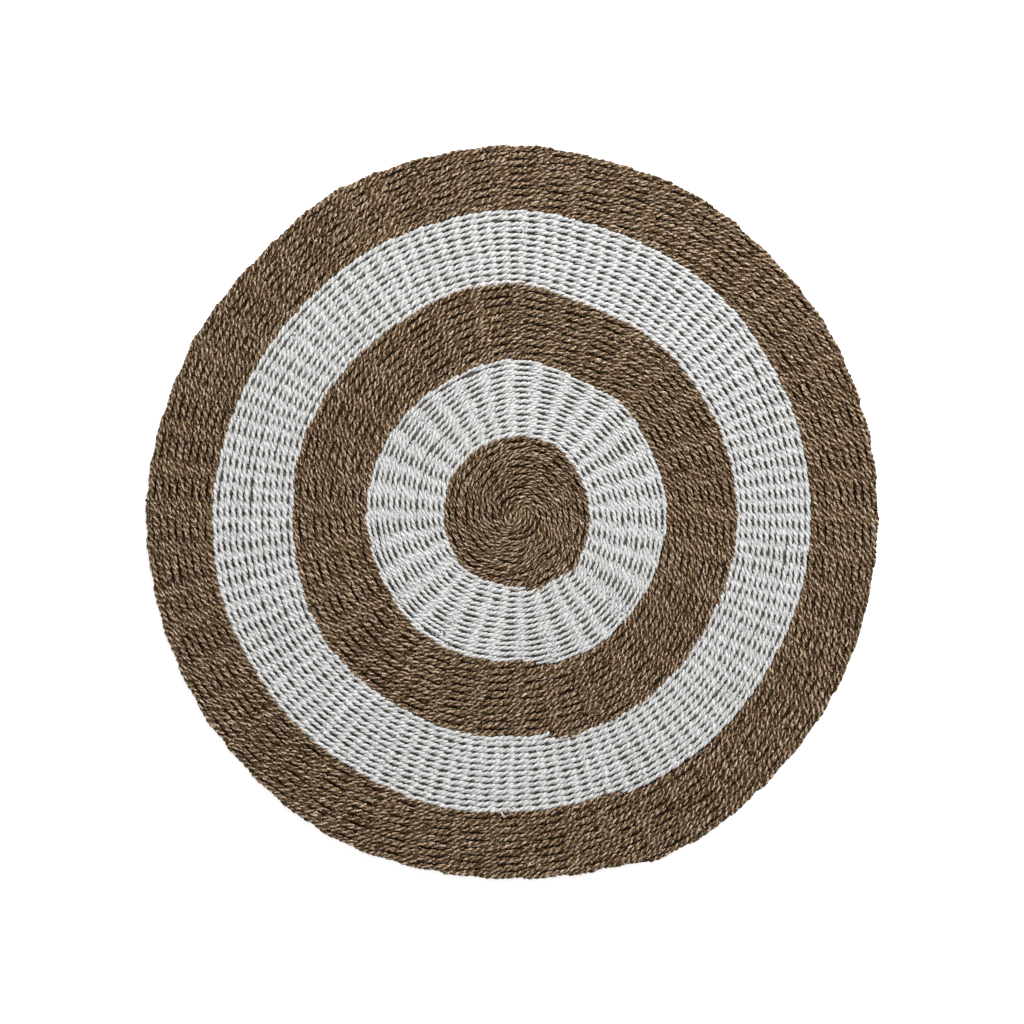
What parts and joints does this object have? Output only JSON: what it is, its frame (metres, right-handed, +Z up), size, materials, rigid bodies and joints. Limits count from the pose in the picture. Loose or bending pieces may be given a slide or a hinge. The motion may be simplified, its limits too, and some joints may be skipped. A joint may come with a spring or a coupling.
{
  "type": "round rug",
  "caption": "Round flat rug, twined in one piece from seagrass and white cord, with concentric bands and a scalloped rim.",
  "frame": {"origin": "middle of the outline's box, on the floor", "axes": "+Z up out of the rug's face, +Y towards the top of the picture, which looks straight down"},
  "size_m": [1.2018, 1.205, 0.013],
  "materials": {
    "seagrass": "two-ply seagrass cord, matt and dry, in brown with straw, olive and reddish strands",
    "white_raffia": "two-ply white raffia cord with a slight silky sheen"
  },
  "bodies": {
    "root": {"rug": "seagrass"}
  },
  "joints": []
}
